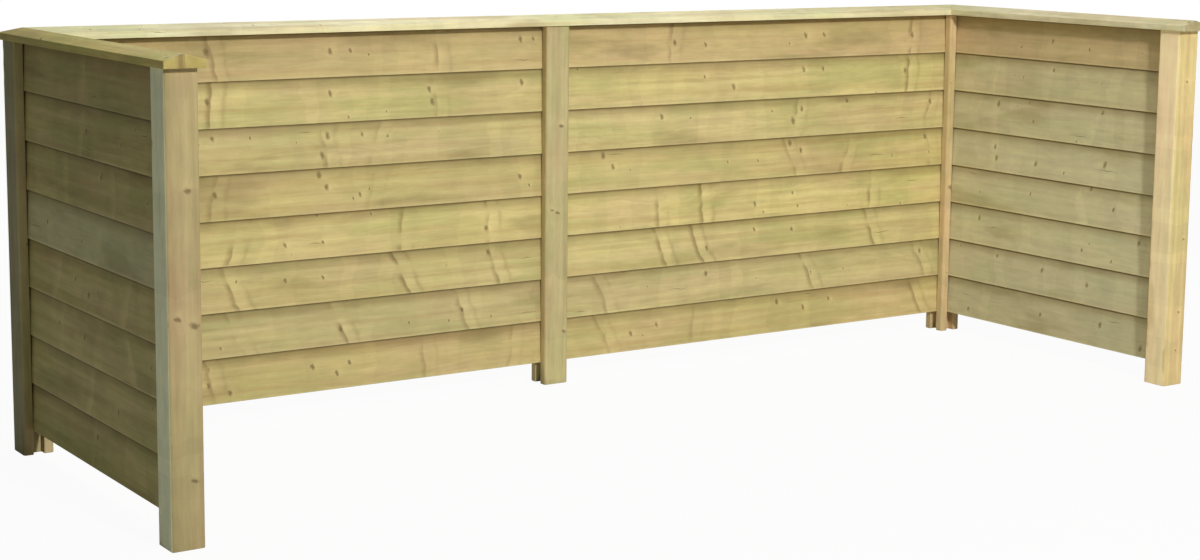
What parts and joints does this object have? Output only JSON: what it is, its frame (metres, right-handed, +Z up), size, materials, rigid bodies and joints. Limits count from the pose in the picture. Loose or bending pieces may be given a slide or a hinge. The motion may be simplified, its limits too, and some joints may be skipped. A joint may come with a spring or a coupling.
{
  "type": "recycling bin station",
  "caption": "Three-sided timber screen, open at the front, with grooved posts, overlapping wedge boards and a two-slope cap rail, for wheeled bins to stand in.",
  "frame": {"origin": "on the ground, at the centre of the overall footprint", "axes": "+X along the back wall, +Y towards the back wall from the open front, +Z up"},
  "size_m": [3.67, 1.225, 1.2359],
  "materials": {
    "post_timber": "planed pressure-treated softwood, pink-tan to yellow-green, small dark knots",
    "board_timber": "planed pressure-treated softwood, yellow-green with flame grain and knot clusters",
    "cap_timber": "planed pressure-treated softwood, pale yellow-green, end grain showing at the front",
    "screw_steel": "yellow-passivated zinc on steel, dull"
  },
  "bodies": {
    "root": {"post_front_left": "post_timber", "post_back_left": "post_timber", "post_back_middle": "post_timber", "post_back_right": "post_timber", "post_front_right": "post_timber", "back_left_board_1": "board_timber", "back_left_board_2": "board_timber", "back_left_board_3": "board_timber", "back_left_board_4": "board_timber", "back_left_board_5": "board_timber", "back_left_board_6": "board_timber", "back_left_board_7": "board_timber", "back_left_board_8": "board_timber", "back_right_board_1": "board_timber", "back_right_board_2": "board_timber", "back_right_board_3": "board_timber", "back_right_board_4": "board_timber", "back_right_board_5": "board_timber", "back_right_board_6": "board_timber", "back_right_board_7": "board_timber", "back_right_board_8": "board_timber", "left_board_1": "board_timber", "left_board_2": "board_timber", "left_board_3": "board_timber", "left_board_4": "board_timber", "left_board_5": "board_timber", "left_board_6": "board_timber", "left_board_7": "board_timber", "left_board_8": "board_timber", "right_board_1": "board_timber", "right_board_2": "board_timber", "right_board_3": "board_timber", "right_board_4": "board_timber", "right_board_5": "board_timber", "right_board_6": "board_timber", "right_board_7": "board_timber", "right_board_8": "board_timber", "cap_left": "cap_timber", "cap_back": "cap_timber", "cap_right": "cap_timber", "cap_post_screws": "screw_steel", "cap_board_screws": "screw_steel", "board_end_screws": "screw_steel"}
  },
  "joints": []
}
